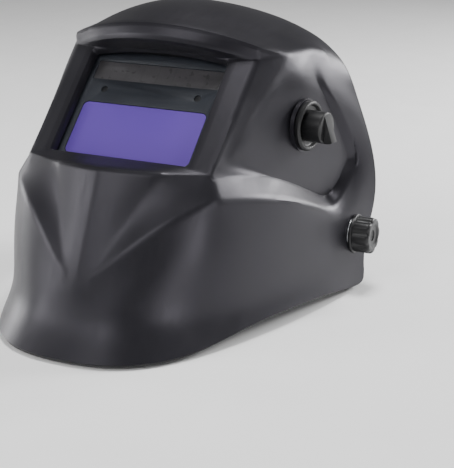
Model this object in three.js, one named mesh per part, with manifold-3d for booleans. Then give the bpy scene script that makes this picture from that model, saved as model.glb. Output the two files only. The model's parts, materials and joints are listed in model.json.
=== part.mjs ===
// Auto-darkening welding helmet, millimetres, +Z up, front towards -Y, wearer's left towards +X.
// It stands on the rim of its shell. Most sizes are laid out from the centre of the filter window,
// and the group is then set down so that the origin is the bottom centre of the whole helmet.
import * as THREE from "three";
import { mergeVertices } from "three/addons/utils/BufferGeometryUtils.js";
import Module from "manifold-3d";

const wasm = await Module();
wasm.setup();

// ---------------------------------------------------------------- driving dimensions
const gap = 0.3; // between neighbouring pieces
const windowCentre = new THREE.Vector3(0, -68, 123.7); // middle of the filter window above the base
const windowLean = 44.7; // degrees from flat to the window plane, on the standing helmet
const filterSize = { w: 92.7, h: 40.9 }; // clear view through the filter
const cartridge = { w: 110, h: 90, s: 17.2 }; // standard cartridge, s is its centre up the window
const openingHalf = 52; // half width of the shell's opening
const openingLow = -24.3; // lower edge of the opening, along the window plane
const openingHigh = 58.7; // upper edge
const frameRise = 4.5; // how far the shell's frame stands in front of the filter
const seatRise = 1; // back of the frame lip
const shellWall = 2.5;
const pivot = { x: 113, y: 107.5, z: -83.8 }; // side pivot on the shell, from the window centre
const headgearDrop = 12; // degrees the headgear leans back on the standing helmet
const headHalf = { w: 74, l: 91 }; // half axes of the headband oval
const headCentre = 16; // oval centre behind the pivot
const bandFront = 47; // headband height above the pivot at the forehead
const bandRear = 12; // and at the nape
const crownTop = 104; // underside of the crown strap above the pivot
const shadeAxis = { x: 92, y: 71, z: -0.5, turn: 7 }; // shade control seat and its forward turn

const material = (name, color, roughness, metalness = 0, opacity = 1) =>
  new THREE.MeshStandardMaterial({ name, color, roughness, metalness, opacity, transparent: opacity < 1 });
const finish = {
  shell: () => material("shell", 0x26262a, 0.55),
  plastic: () => material("plastic", 0x1c1c1f, 0.6),
  gloss: () => material("gloss", 0x101014, 0.25),
  case: () => material("case", 0x33363d, 0.5),
  clear: () => material("clear", 0xdfe6f2, 0.05, 0, 0.25),
  filter: () => material("filter", 0x8c78c8, 0.08),
  solar: () => material("solar", 0x5a5a5e, 0.2),
  steel: () => material("steel", 0x9a9ca0, 0.35, 1),
  board: () => material("board", 0x1f5a34, 0.6),
  foam: () => material("foam", 0x2a2a2c, 0.95),
  wire: () => material("wire", 0x141414, 0.5),
};

// ---------------------------------------------------------------- tools
const radians = THREE.MathUtils.degToRad;
const lerp = THREE.MathUtils.lerp;

function bare(geometry) {
  const copy = geometry.clone();
  copy.deleteAttribute("normal");
  copy.deleteAttribute("uv");
  const merged = mergeVertices(copy, 1e-4);
  const kept = [];
  const index = merged.index.array;
  for (let t = 0; t < index.length; t += 3) {
    const [a, b, c] = index.slice(t, t + 3);
    if (a !== b && b !== c && c !== a) kept.push(a, b, c);
  }
  merged.setIndex(kept);
  return merged;
}

function solid(geometry) {
  const clean = bare(geometry);
  return new wasm.Manifold(new wasm.Mesh({
    numProp: 3,
    vertProperties: new Float32Array(clean.attributes.position.array),
    triVerts: new Uint32Array(clean.index.array),
  }));
}

function fromSolid(body) {
  const made = body.getMesh();
  const geometry = new THREE.BufferGeometry();
  geometry.setAttribute("position", new THREE.BufferAttribute(new Float32Array(made.vertProperties), 3));
  geometry.setIndex(new THREE.BufferAttribute(new Uint32Array(made.triVerts), 1));
  return geometry;
}

function cut(geometry, ...tools) {
  return fromSolid(tools.reduce((body, tool) => body.subtract(solid(tool)), solid(geometry)));
}

function join(geometry, ...others) {
  return fromSolid(others.reduce((body, other) => body.add(solid(other)), solid(geometry)));
}

function common(geometry, other) {
  return fromSolid(solid(geometry).intersect(solid(other)));
}

// Box between two opposite corners.
function block(a, b) {
  const size = new THREE.Vector3(...b).sub(new THREE.Vector3(...a));
  const geometry = new THREE.BoxGeometry(Math.abs(size.x), Math.abs(size.y), Math.abs(size.z));
  return geometry.translate((a[0] + b[0]) / 2, (a[1] + b[1]) / 2, (a[2] + b[2]) / 2);
}

// Cylinder along Z from z0 to z1.
function rod(radius, z0, z1, x = 0, y = 0, sides = 24) {
  const geometry = new THREE.CylinderGeometry(radius, radius, Math.abs(z1 - z0), sides);
  return geometry.rotateX(Math.PI / 2).translate(x, y, (z0 + z1) / 2);
}

function roundedRect(w, h, r, x = 0, y = 0, Kind = THREE.Shape) {
  const shape = new Kind();
  const [l, b, t, q] = [x - w / 2, y - h / 2, y + h / 2, x + w / 2];
  shape.moveTo(l + r, b).lineTo(q - r, b);
  shape.absarc(q - r, b + r, r, -Math.PI / 2, 0, false).lineTo(q, t - r);
  shape.absarc(q - r, t - r, r, 0, Math.PI / 2, false).lineTo(l + r, t);
  shape.absarc(l + r, t - r, r, Math.PI / 2, Math.PI, false).lineTo(l, b + r);
  shape.absarc(l + r, b + r, r, Math.PI, 1.5 * Math.PI, false);
  return shape;
}

// Flat plate of a shape between two heights.
function plate(shape, z0, z1, curveSegments = 3) {
  const geometry = new THREE.ExtrudeGeometry(shape, { depth: z1 - z0, bevelEnabled: false, curveSegments });
  return geometry.translate(0, 0, z0);
}

// Turned piece about Z from [radius, height] pairs that start and end on the axis or close.
function turned(profile, sides = 32) {
  const points = profile.map(([r, z]) => new THREE.Vector2(r, z));
  const lathe = bare(new THREE.LatheGeometry(points, sides).rotateX(Math.PI / 2));
  return facingOut([...lathe.attributes.position.array], [...lathe.index.array]);
}

// Strip of a given thickness laid along stations {centre, across, out}, both ends closed.
function strip(stations, halfHeight, thickness) {
  const positions = [];
  const index = [];
  for (const [k, st] of stations.entries()) {
    const half = typeof halfHeight === "function" ? halfHeight(k / (stations.length - 1)) : halfHeight;
    for (const [side, depth] of [[-1, 0], [1, 0], [1, 1], [-1, 1]]) {
      const p = st.centre.clone().addScaledVector(st.across, side * half);
      p.addScaledVector(st.out, depth * thickness);
      positions.push(p.x, p.y, p.z);
    }
  }
  for (let k = 0; k + 1 < stations.length; k++) {
    for (let c = 0; c < 4; c++) {
      const [a, b] = [4 * k + c, 4 * k + ((c + 1) % 4)];
      index.push(a, b, b + 4, a, b + 4, a + 4);
    }
  }
  const last = 4 * (stations.length - 1);
  index.push(0, 2, 1, 0, 3, 2, last, last + 1, last + 2, last, last + 2, last + 3);
  return facingOut(positions, index);
}

// Indexed geometry with its triangles turned so that the volume is positive.
function facingOut(positions, index) {
  let volume = 0;
  const at = (i) => new THREE.Vector3(...positions.slice(3 * i, 3 * i + 3));
  for (let t = 0; t < index.length; t += 3) {
    volume += at(index[t]).dot(at(index[t + 1]).cross(at(index[t + 2])));
  }
  if (volume < 0) index.reverse();
  const geometry = new THREE.BufferGeometry();
  geometry.setAttribute("position", new THREE.BufferAttribute(new Float32Array(positions), 3));
  geometry.setIndex(index);
  return geometry;
}

function add(parent, name, geometry, kind) {
  const mesh = new THREE.Mesh(geometry, kind());
  mesh.name = name;
  parent.add(mesh);
  return mesh;
}

// ---------------------------------------------------------------- shell cage
// The shell is one smooth surface with creases. Its cage has rings, from the window opening out to
// the rim, and spokes, from the top centre round the wearer's left side to the bottom centre.
const lean = { c: Math.cos(radians(windowLean)), s: Math.sin(radians(windowLean)) };
const onWindow = (x, s, n) => [x, s * lean.c - n * lean.s, s * lean.s + n * lean.c];
const mix = (a, b, t) => a.map((value, k) => lerp(value, b[k], t));

const browTip = { low: [66.9, 45.7, 45.7], high: [67.4, 44.8, 52.8] };
const cheekLow = [65.3, -20.2, -17]; // where the frame, the cheek crease and the side ledge meet
const ledgeFront = [72.5, -24, -30.5]; // front end of the side ledge
const chinPoint = [0, -73.7, -81]; // where the face facets run together

// Spokes 0-4 cross the brow, 5-15 the side, 16-21 the face and chin.
const browShare = [0, 0.33, 0.62, 0.85, 1];
const domeShare = [0, 0.27, 0.53, 0.74, 0.87];
const openingSide = [53, 44, 34.5, 24.5, 14.5, 5, -3.5, -10, -15, -19.5];
const frameShare = [0.033, 0.147, 0.253, 0.375, 0.497, 0.61, 0.723, 0.815, 0.883, 0.944, 1];
const openingFoot = [46, 41, 36, 30, 15, 0];
const facetSag = [0, 2, 2.4, 1.2, 0, 0]; // how far the facets above the chin crease are hollowed

// Centre line of the dome from behind the brow to the rear rim: y, z and section fullness.
const domeCentre = [
  [40, 69.5, 2.0],
  [55, 74, 1.9],
  [76, 76.3, 1.8],
  [97, 73, 2.1],
  [111, 69, 2.5],
  [122, 64.4, 3.0],
  [130, 60, 3.4],
];

// Side spokes: cheek crease, panel foot, ledge top, ledge bottom, three on the side wall, rim.
const sideSpokes = [
  [[79, 65, 45.6], [82, 80, 46.5], [85, 91, 45.7], [88, 99.5, 43.8],
    [91.5, 107, 40.7], [94.5, 111.5, 37.5], [97.3, 115.5, 34], [100, 119, 30]],
  [[78, 55, 37], [86, 67, 36], [88, 83, 32], [91, 87, 30],
    [95.5, 98, 26], [99, 107, 21.5], [102.3, 116, 16], [105, 123, 11]],
  [[77, 44.5, 28.6], [89.8, 73, 18], [98, 98.7, 5.6], [104.3, 104, 1.6],
    [106, 110, 0.5], [107.5, 115.5, -1], [109, 121, -3], [110, 126, -5]],
  [[75, 34, 19.7], [91.5, 77, -7], [103.3, 115.7, -31.5], [110, 124, -30.4],
    [112.4, 126.2, -30.2], [114, 128, -29.8], [115.2, 129.7, -29.4], [116, 131, -29]],
  [[73, 22.5, 11.3], [89.5, 65, -20], [100.5, 106.9, -45.1], [107.5, 112, -49],
    [111, 118, -51.2], [114, 124, -53], [116.3, 129.5, -54.3], [118.5, 135, -55]],
  [[71.5, 11, 1], [86.5, 53, -31], [96.8, 96.9, -58.6], [104.8, 89.8, -65.2],
    [110, 98, -69.5], [113, 108, -73], [115.7, 117.5, -76], [118, 125.5, -78]],
  [[69.5, 2, -6.5], [83, 40, -31], [92.8, 82, -51], [102.5, 71, -57.5],
    [107.5, 84, -70], [112, 96, -83], [115, 105, -94.5], [117.5, 111, -104]],
  [[68.3, -4, -10.5], [79.5, 26, -26.5], [87.5, 56, -38.5], [97, 42, -46],
    [103, 61, -66], [109, 81, -86], [113.5, 99, -105], [119.3, 121, -126]],
  [[67.3, -10, -12.5], [75, 8, -21], [80.5, 26, -27], [87.5, 13, -37],
    [96, 32, -62], [101.5, 50, -85], [105.5, 64, -103], [112, 76, -117]],
  [[66.3, -15, -14.5], [70, -7.5, -18.5], [73.5, 0, -21.5], [79.5, -8, -33],
    [88, 5, -60], [93, 16, -84], [95.5, 25, -102], [103, 34, -114]],
  [[65.7, -20.5, -17.7], [66.1, -20.8, -18.6], [66.7, -21.1, -19.8], ledgeFront,
    [79, -20, -58], [82, -17, -82], [82.5, -15, -102], [89, -11.5, -114]],
];

// Face spokes: sill point, chin crease, three down the chin, rim.
const faceSpokes = [
  [[41, -30.2, -17], [66, -32, -33.5], [70.5, -35, -58], [71, -37, -82], [70, -39, -102], [75, -47, -120.5]],
  [[38.5, -31.5, -16.8], [52, -46, -40.5], [58.5, -47.5, -62], [58, -51, -84], [57.5, -56, -103], [62, -71, -122]],
  [[36, -32.8, -16.6], [33, -58.5, -54.5], [42, -60.5, -70], [44, -65, -88], [44, -69.5, -104], [47, -86, -122]],
  [[33, -34.3, -16.4], [14, -68.5, -72], [21, -71.5, -82], [26, -76, -94], [29, -80.5, -106], [31, -94.5, -122]],
  [[17, -39.5, -15.4], [6.5, -72, -78], [9, -75, -87], [11.5, -79, -97], [14, -84, -107], [15, -98, -122]],
  [[0, -42, -14.9], chinPoint, [0, -76.5, -90], [0, -80.5, -99], [0, -85.5, -108], [0, -98.5, -122]],
];

function browSpoke(k) {
  const w = browShare[k];
  const arch = 1 - w ** 2;
  const [xo, yo, zo] = browTip.low;
  const [xh, yh, zh] = browTip.high;
  const low = [xo * w, yo - 19.6 * (1 - w ** 2.35), zo + 13.1 * (1 - w ** 2.13)];
  const high = [xh * w, yh - 15 * (1 - w ** 2.3), zh + 13.2 * (1 - w ** 2.15)];
  const spoke = [
    onWindow(openingHalf * w, openingHigh + 3 * arch, seatRise + frameRise * arch),
    onWindow((openingHalf + 0.8) * w, openingHigh + 0.8 + 3 * arch, frameRise * (1 + arch)),
    low,
    high,
  ];
  const share = domeShare[k];
  for (const [ring, [y0, z0, fullness]] of domeCentre.entries()) {
    const [xt, yt, zt] = sideSpokes[0][ring + 1];
    spoke.push([xt * share, lerp(yt, y0, 1 - share ** 2), lerp(zt, z0, 1 - share ** fullness)]);
  }
  return spoke;
}

function sideSpoke(k) {
  const foot = k === sideSpokes.length - 1;
  const s = foot ? openingLow - 0.8 : openingSide[k];
  return [
    onWindow(openingHalf, foot ? openingLow : s, seatRise),
    onWindow(openingHalf + 0.8, s, frameRise),
    mix(browTip.low, cheekLow, frameShare[k]),
    ...sideSpokes[k],
  ];
}

function faceSpoke(k) {
  const [sill, crease, ...chin] = faceSpokes[k];
  const facet = (t) => {
    const [x, y, z] = mix(sill, crease, t);
    return [x, y + 4 * t * (1 - t) * facetSag[k], z];
  };
  return [
    onWindow(openingFoot[k], openingLow, seatRise),
    onWindow(openingFoot[k], openingLow - 0.8, frameRise),
    sill,
    facet(0.1),
    facet(0.4),
    facet(0.7),
    crease,
    ...chin,
  ];
}

const spokes = [
  ...browShare.map((_, k) => browSpoke(k)),
  ...sideSpokes.map((_, k) => sideSpoke(k)),
  ...faceSpokes.map((_, k) => faceSpoke(k)),
];
const ringCount = spokes[0].length;
const halfTurn = spokes.length - 1;
const fullTurn = 2 * halfTurn;

// Crease strengths by ring, first spoke, last spoke; 9 stays sharp.
const ringCreases = [
  [0, 0, 21, 9], [1, 0, 21, 9],
  [2, 0, 4, 6], [3, 0, 4, 6], [2, 4, 15, 3], [3, 4, 14, 5], [2, 15, 21, 6],
  [5, 6, 10, 6], [5, 10, 14, 6], [6, 6, 10, 6], [6, 10, 15, 6], [6, 15, 20, 6], [10, 0, 21, 9],
];
// Crease strengths by spoke, first ring, last ring.
const spokeCreases = [
  [4, 2, 3, 3], [5, 3, 7, 2.2], [8, 5, 6, 6], [15, 2, 6, 5], [16, 2, 6, 5], [19, 2, 5, 1.2], [21, 2, 6, 4],
];

function shellCage() {
  const points = [];
  for (let ring = 0; ring < ringCount; ring++) {
    for (let turn = 0; turn < fullTurn; turn++) {
      const mirrored = turn > halfTurn;
      const [x, y, z] = spokes[mirrored ? fullTurn - turn : turn][ring];
      points.push(new THREE.Vector3(mirrored ? -x : x, y, z));
    }
  }
  const at = (ring, turn) => ring * fullTurn + ((turn + fullTurn) % fullTurn);
  const faces = [];
  for (let ring = 0; ring + 1 < ringCount; ring++) {
    for (let turn = 0; turn < fullTurn; turn++) {
      faces.push([at(ring, turn), at(ring, turn + 1), at(ring + 1, turn + 1), at(ring + 1, turn)]);
    }
  }
  const creases = new Map();
  const sharpen = (a, b, value) => creases.set(edgeKey(a, b), value);
  for (const [ring, first, last, value] of ringCreases) {
    for (let turn = first; turn < last; turn++) {
      sharpen(at(ring, turn), at(ring, turn + 1), value);
      sharpen(at(ring, -turn), at(ring, -turn - 1), value);
    }
  }
  for (const [turn, first, last, value] of spokeCreases) {
    for (let ring = first; ring < last; ring++) {
      sharpen(at(ring, turn), at(ring + 1, turn), value);
      sharpen(at(ring, -turn), at(ring + 1, -turn), value);
    }
  }
  return { points, faces, creases };
}

function edgeKey(a, b) {
  return a < b ? `${a},${b}` : `${b},${a}`;
}

// One Catmull-Clark step with semi-sharp creases. Old points keep their places in the list.
function smooth({ points, faces, creases }) {
  const edges = new Map();
  const facePoints = faces.map((face) => average(face.map((i) => points[i])));
  for (const [f, face] of faces.entries()) {
    for (let k = 0; k < 4; k++) {
      const [a, b] = [face[k], face[(k + 1) % 4]];
      const key = edgeKey(a, b);
      if (!edges.has(key)) edges.set(key, { a, b, faces: [] });
      edges.get(key).faces.push(f);
    }
  }
  const around = points.map(() => ({ faces: [], edges: [] }));
  for (const [f, face] of faces.entries()) {
    for (const i of face) around[i].faces.push(f);
  }
  const next = [...points.map((p) => p.clone()), ...facePoints];
  const nextCreases = new Map();
  let slot = next.length;
  for (const [key, edge] of edges) {
    const border = edge.faces.length === 1;
    edge.sharp = border ? 9 : creases.get(key) ?? 0;
    edge.middle = average([points[edge.a], points[edge.b]]);
    const soft = average([edge.middle, average(edge.faces.map((f) => facePoints[f]))]);
    edge.slot = slot++;
    next.push(soft.lerp(edge.middle, Math.min(edge.sharp, 1)));
    around[edge.a].edges.push(edge);
    around[edge.b].edges.push(edge);
    const left = edge.sharp >= 9 ? 9 : edge.sharp - 1;
    if (left > 0) {
      nextCreases.set(edgeKey(edge.a, edge.slot), left);
      nextCreases.set(edgeKey(edge.b, edge.slot), left);
    }
  }
  for (const [i, near] of around.entries()) {
    const count = near.edges.length;
    const sharp = near.edges.filter((edge) => edge.sharp > 0);
    const p = points[i];
    const soft = average(near.faces.map((f) => facePoints[f])).multiplyScalar(1 / count);
    soft.addScaledVector(average(near.edges.map((edge) => edge.middle)), 2 / count);
    soft.addScaledVector(p, (count - 3) / count);
    if (sharp.length < 2) {
      next[i].copy(soft);
      continue;
    }
    const blend = Math.min(1, sharp.reduce((sum, edge) => sum + edge.sharp, 0) / sharp.length);
    const hard = p.clone();
    if (sharp.length === 2) {
      const ends = sharp.map((edge) => points[edge.a === i ? edge.b : edge.a]);
      hard.multiplyScalar(0.75).addScaledVector(ends[0], 0.125).addScaledVector(ends[1], 0.125);
    }
    next[i].copy(soft.lerp(hard, blend));
  }
  const nextFaces = [];
  for (const [f, face] of faces.entries()) {
    const hub = points.length + f;
    for (let k = 0; k < 4; k++) {
      const ahead = edges.get(edgeKey(face[k], face[(k + 1) % 4])).slot;
      const behind = edges.get(edgeKey(face[k], face[(k + 3) % 4])).slot;
      nextFaces.push([face[k], ahead, hub, behind]);
    }
  }
  return { points: next, faces: nextFaces, creases: nextCreases };
}

function average(list) {
  const sum = new THREE.Vector3();
  for (const p of list) sum.add(p);
  return sum.multiplyScalar(1 / list.length);
}

// The cage after one step, its points carried on to where two more steps would take them.
function shellSurface() {
  const cage = shellCage();
  const once = smooth(cage);
  const settled = smooth(smooth(once)).points.slice(0, once.points.length);
  return { points: settled, faces: once.faces, cageCount: cage.points.length, cageFaces: cage.faces };
}

// Directed edges that only one face uses, as a map from start to end.
function borderSteps(faces) {
  const open = new Map();
  for (const face of faces) {
    for (let k = 0; k < 4; k++) {
      const [p, q] = [face[k], face[(k + 1) % 4]];
      const key = edgeKey(p, q);
      if (open.has(key)) open.delete(key);
      else open.set(key, [p, q]);
    }
  }
  return new Map(open.values());
}

// Wall of the shell: the fine surface outside, and inside it the cage's own points moved in.
function thicken({ points, faces, cageCount, cageFaces }, wall) {
  const normals = points.map(() => new THREE.Vector3());
  for (const face of faces) {
    for (let k = 0; k < 4; k++) {
      const [p, q, r] = [points[face[k]], points[face[(k + 1) % 4]], points[face[(k + 3) % 4]]];
      const u = q.clone().sub(p).normalize();
      const v = r.clone().sub(p).normalize();
      const angle = Math.acos(THREE.MathUtils.clamp(u.dot(v), -1, 1));
      normals[face[k]].addScaledVector(u.cross(v).normalize(), angle);
    }
  }
  const inner = [];
  for (let i = 0; i < cageCount; i++) {
    inner.push(points[i].clone().addScaledVector(normals[i].normalize(), -wall));
  }
  const base = points.length;
  const index = [];
  for (const [a, b, c, d] of faces) index.push(a, c, b, a, d, c);
  for (const [a, b, c, d] of cageFaces) {
    index.push(a + base, b + base, c + base, a + base, c + base, d + base);
  }
  const fineStep = borderSteps(faces);
  for (const [p, q] of borderSteps(cageFaces)) {
    const m = fineStep.get(p);
    index.push(p, m, p + base, m, q + base, p + base, m, q, q + base);
  }
  return facingOut([...points, ...inner].flatMap((p) => [p.x, p.y, p.z]), index);
}

// ---------------------------------------------------------------- groups
const helmet = new THREE.Group();
helmet.position.copy(windowCentre);

// Window frame of reference: X across, Y up the window, Z out of it.
const windowGroup = new THREE.Group();
windowGroup.rotation.x = radians(windowLean);
helmet.add(windowGroup);

// Headgear frame of reference: the pivot axis is X, Y runs to the nape, Z to the crown.
const headgear = new THREE.Group();
headgear.position.set(0, pivot.y, pivot.z);
headgear.rotation.x = -radians(headgearDrop);
helmet.add(headgear);

// Side frames: Z runs outwards along the pivot axis and starts in the middle of the helmet.
function sideGroup(parent, side) {
  const group = new THREE.Group();
  group.rotation.y = side * Math.PI / 2;
  parent.add(group);
  return group;
}
const sides = [["left", 1], ["right", -1]];

// Shade control frame: Z is the knob's axis, out of the shell, and X runs down.
const shadeGroup = new THREE.Group();
shadeGroup.position.set(shadeAxis.x, shadeAxis.y, shadeAxis.z);
shadeGroup.rotation.set(0, Math.PI / 2, -radians(shadeAxis.turn), "ZYX");
helmet.add(shadeGroup);

// A geometry given in one group's frame, restated in the helmet's frame.
function placed(geometry, ...groups) {
  const matrix = new THREE.Matrix4();
  for (const group of groups) {
    group.updateMatrix();
    matrix.multiply(group.matrix);
  }
  return geometry.clone().applyMatrix4(matrix);
}

// ---------------------------------------------------------------- shell
const boltHole = 3.6;
const stopPeg = { radius: 2.5, reach: 20, from: -7.6, to: 0.8 }; // below the pivot, inside
const pivotPad = { radius: 15, inner: -4.6, outer: 0.6 };
const shadeSeat = { radius: 18, depth: 2.6, height: 0.2, hole: 4 };

function buildShell() {
  let body = solid(thicken(shellSurface(), shellWall));
  for (const side of [1, -1]) {
    const group = new THREE.Group();
    group.position.set(0, pivot.y, pivot.z);
    group.rotation.y = side * Math.PI / 2;
    const pad = rod(pivotPad.radius, pivot.x + pivotPad.inner, pivot.x + pivotPad.outer, 0, 0, 32);
    body = body.add(solid(placed(pad, group)));
    const pegX = side * stopPeg.reach;
    const peg = rod(stopPeg.radius, pivot.x + stopPeg.from, pivot.x + stopPeg.to, pegX, 0, 12);
    body = body.add(solid(placed(peg, group)));
    const face = rod(pivotPad.radius - 0.4, pivot.x + pivotPad.outer, pivot.x + 6, 0, 0, 32);
    const hole = rod(boltHole, pivot.x - 12, pivot.x + 6, 0, 0, 16);
    body = body.subtract(solid(placed(face, group))).subtract(solid(placed(hole, group)));
  }
  const seat = rod(shadeSeat.radius, -shadeSeat.depth, shadeSeat.height, 0, 0, 36);
  body = body.add(solid(placed(seat, shadeGroup)));
  const hole = rod(shadeSeat.hole, -12, 4, 0, 0, 16);
  body = body.subtract(solid(placed(hole, shadeGroup)));
  add(helmet, "shell", fromSolid(body), finish.shell);
}

// ---------------------------------------------------------------- filter cartridge
// Depths are measured along the window's outward axis.
const depth = {
  lensFront: 0.2, lensBack: -0.6,
  caseFront: -0.9, caseSplit: -3.9, caseBack: -11.5,
  glassFront: -1.3, glassBack: -4.2,
  rearWall: -10,
  innerLensBack: -12.8,
};
const solar = { w: 95, h: 14.8, s: 46.6 };
const sensor = { x: 35, s: 31.5, r: 2.6 };
const controlsRow = 42; // height of the dials and the test button
const cell = { r: 10, x: 34, thick: 3.2 };
const dialX = 12;

function buildCartridge() {
  const { w, h, s } = cartridge;
  const shade = finish.case;
  const lens = plate(roundedRect(w - 3, h - 3, 2, 0, s), depth.lensBack, depth.lensFront);
  add(windowGroup, "front_cover_lens", lens, finish.clear);

  const front = roundedRect(w, h, 3, 0, s);
  front.holes.push(roundedRect(filterSize.w, filterSize.h, 4, 0, 0.7, THREE.Path));
  front.holes.push(roundedRect(solar.w, solar.h, 0.8, 0, solar.s, THREE.Path));
  for (const side of [-1, 1]) {
    const eye = new THREE.Path();
    eye.absarc(side * sensor.x, sensor.s, sensor.r, 0, 2 * Math.PI, false);
    front.holes.push(eye);
  }
  add(windowGroup, "cartridge_front_case", plate(front, depth.caseSplit, depth.caseFront, 5), shade);

  const rear = plate(roundedRect(w, h, 3, 0, s), depth.caseBack, depth.caseSplit - gap);
  const pocket = plate(roundedRect(w - 4, h - 4, 2, 0, s), depth.rearWall, 0);
  const view = plate(roundedRect(filterSize.w, filterSize.h, 4, 0, 0.7), -20, 0);
  const controls = [-dialX, 0, dialX].map((x) => rod(x ? 2.4 : 3.4, -20, 0, x, controlsRow, 16));
  const leadHole = rod(2, -20, 0, 50, 46, 12);
  add(windowGroup, "cartridge_rear_case", cut(rear, pocket, view, leadHole, ...controls), shade);

  const glass = roundedRect(filterSize.w - 2 * gap, filterSize.h - 2 * gap, 3.8, 0, 0.7);
  add(windowGroup, "filter_glass", plate(glass, depth.glassBack, depth.glassFront), finish.filter);
  const lcd = block([-48, -21.5, depth.rearWall + gap], [48, 22.9, depth.glassBack - gap]);
  add(windowGroup, "liquid_crystal_stack", lcd, finish.clear);
  const panel = roundedRect(solar.w - 2 * gap, solar.h - 2 * gap, 0.6, 0, solar.s);
  add(windowGroup, "solar_panel", plate(panel, depth.caseSplit + 0.2, depth.glassFront), finish.solar);

  const boardFront = depth.caseSplit - 0.5;
  const boardBack = boardFront - 1.6;
  const board = block([-51, 24, boardBack], [51, 58, boardFront]);
  add(windowGroup, "circuit_board", board, finish.board);
  for (const [name, side] of sides) {
    const eye = rod(sensor.r - gap, boardFront + gap, depth.caseFront - 0.5, side * sensor.x, sensor.s, 16);
    add(windowGroup, `light_sensor_${name}`, eye, finish.gloss);
    const back = boardBack - gap;
    const coin = rod(cell.r, back - cell.thick, back, side * cell.x, controlsRow, 24);
    add(windowGroup, `button_cell_${name}`, coin, finish.steel);
  }
  const knobBack = depth.caseBack - gap;
  for (const [name, x] of [["sensitivity_dial", -dialX], ["delay_dial", dialX]]) {
    const dial = turned([
      [0, boardBack - gap], [2, boardBack - gap], [2, knobBack], [6, knobBack],
      [6, knobBack - 2.2], [5.4, knobBack - 2.8], [0, knobBack - 2.8],
    ], 20).translate(x, controlsRow, 0);
    const slot = block([x - 4.5, controlsRow - 0.6, knobBack - 4], [x + 4.5, controlsRow + 0.6, knobBack - 2]);
    add(windowGroup, name, cut(dial, slot), finish.gloss);
  }
  const button = rod(3, boardBack - 1.6, knobBack - 1.6, 0, controlsRow, 20);
  add(windowGroup, "test_button", fromSolid(solid(button)), finish.gloss);
  const inner = plate(roundedRect(100, 48, 2, 0, 0.7), depth.innerLensBack, knobBack);
  add(windowGroup, "inner_cover_lens", inner, finish.clear);
  buildHolder();
}

// Frame that clips the cartridge into the shell, with two turn latches.
const holder = { wall: 4.7, front: -0.9, back: -11 };
const latchAt = { x: cartridge.w / 2 + gap + 2.4, s: 31, pin: 1.3, half: 3 };

function buildHolder() {
  const { w, h, s } = cartridge;
  const ring = roundedRect(w + 2 * gap + 2 * holder.wall, h + 2 * gap + 2 * holder.wall, 5, 0, s);
  ring.holes.push(roundedRect(w + 2 * gap, h + 2 * gap, 3.2, 0, s, THREE.Path));
  const pins = sides.map(([, side]) =>
    rod(latchAt.pin + gap, -20, holder.front - 3, side * latchAt.x, latchAt.s, 12));
  add(windowGroup, "cartridge_holder", cut(plate(ring, holder.back, holder.front), ...pins), finish.plastic);
  for (const [name, side] of sides) {
    const back = depth.caseBack - gap;
    const bar = roundedRect(13, 2 * latchAt.half, 2.9, side * (latchAt.x - 3), latchAt.s);
    const pin = rod(latchAt.pin, back - 1, holder.front - 3 - gap, side * latchAt.x, latchAt.s, 12);
    add(windowGroup, `cartridge_latch_${name}`, join(plate(bar, back - 1.8, back), pin), finish.plastic);
  }
}

// ---------------------------------------------------------------- shade control
const shadeNut = { across: 10, from: 2.1, to: 4.3 };
const shadeBarrel = { r: 10.5, from: 2.1, to: 15.5 };

function buildShadeControl() {
  const bezel = turned([
    [4.4, 0.5], [17, 0.5], [17, 2.8], [16, 4.2], [14.6, 4.2], [13.4, 1.8], [4.4, 1.8], [4.4, 0.5],
  ], 28);
  add(shadeGroup, "shade_bezel", bezel, finish.gloss);

  const hex = new THREE.CylinderGeometry(shadeNut.across / 1.732, shadeNut.across / 1.732, 2.2, 6);
  const nut = hex.rotateX(Math.PI / 2).translate(0, 0, (shadeNut.from + shadeNut.to) / 2);
  add(shadeGroup, "shade_nut", cut(nut, rod(3.8, 0, 6, 0, 0, 16)), finish.steel);

  const body = turned([
    [0, -15], [8, -15], [8, -7.4], [3.5, -7.4], [3.5, 4.6], [2.9, 4.6], [2.9, 9.6], [0, 9.6],
  ], 20);
  add(shadeGroup, "shade_potentiometer", body, finish.steel);

  const barrel = turned([
    [0, 10], [3.2, 10], [3.2, 5], [6.4, 5], [6.4, shadeBarrel.from], [shadeBarrel.r, shadeBarrel.from],
    [shadeBarrel.r, 14.7], [9.7, shadeBarrel.to], [0, shadeBarrel.to],
  ], 28);
  const fin = new THREE.Shape();
  fin.moveTo(-9.6, 14).lineTo(-9.6, 15.2).lineTo(9, 21.4);
  fin.quadraticCurveTo(10.8, 18.4, 9.6, 14);
  fin.lineTo(-9.6, 14);
  const grip = plate(fin, -3.4, 3.4, 5).rotateX(Math.PI / 2);
  add(shadeGroup, "shade_knob", join(barrel, grip), finish.gloss);

  // Lead from the potentiometer to the back of the cartridge, in the window's frame.
  const route = new THREE.CatmullRomCurve3([
    new THREE.Vector3(50, 46, depth.caseBack - gap),
    new THREE.Vector3(50, 46, depth.caseBack - 7),
    new THREE.Vector3(53, 47.5, -30),
    new THREE.Vector3(61, 49, -43),
    new THREE.Vector3(68, 49.6, -49),
    new THREE.Vector3(75, 50, -50.8),
  ]);
  const round = new THREE.Shape().absarc(0, 0, 1.4, 0, 2 * Math.PI, false);
  const lead = new THREE.ExtrudeGeometry(round, { steps: 14, curveSegments: 4, extrudePath: route });
  add(windowGroup, "shade_lead", lead, finish.wire);
}

// ---------------------------------------------------------------- side pivots
// Positions along the pivot axis, from the shell's pad outwards (+) and inwards (-).
const bracketPlate = { in: -16, out: -13.4 };
const slotHalf = { y: 11, z: 3.4 };
const stopPegTurn = 17; // degrees between the shell's peg and the middle of the stop arm

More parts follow.
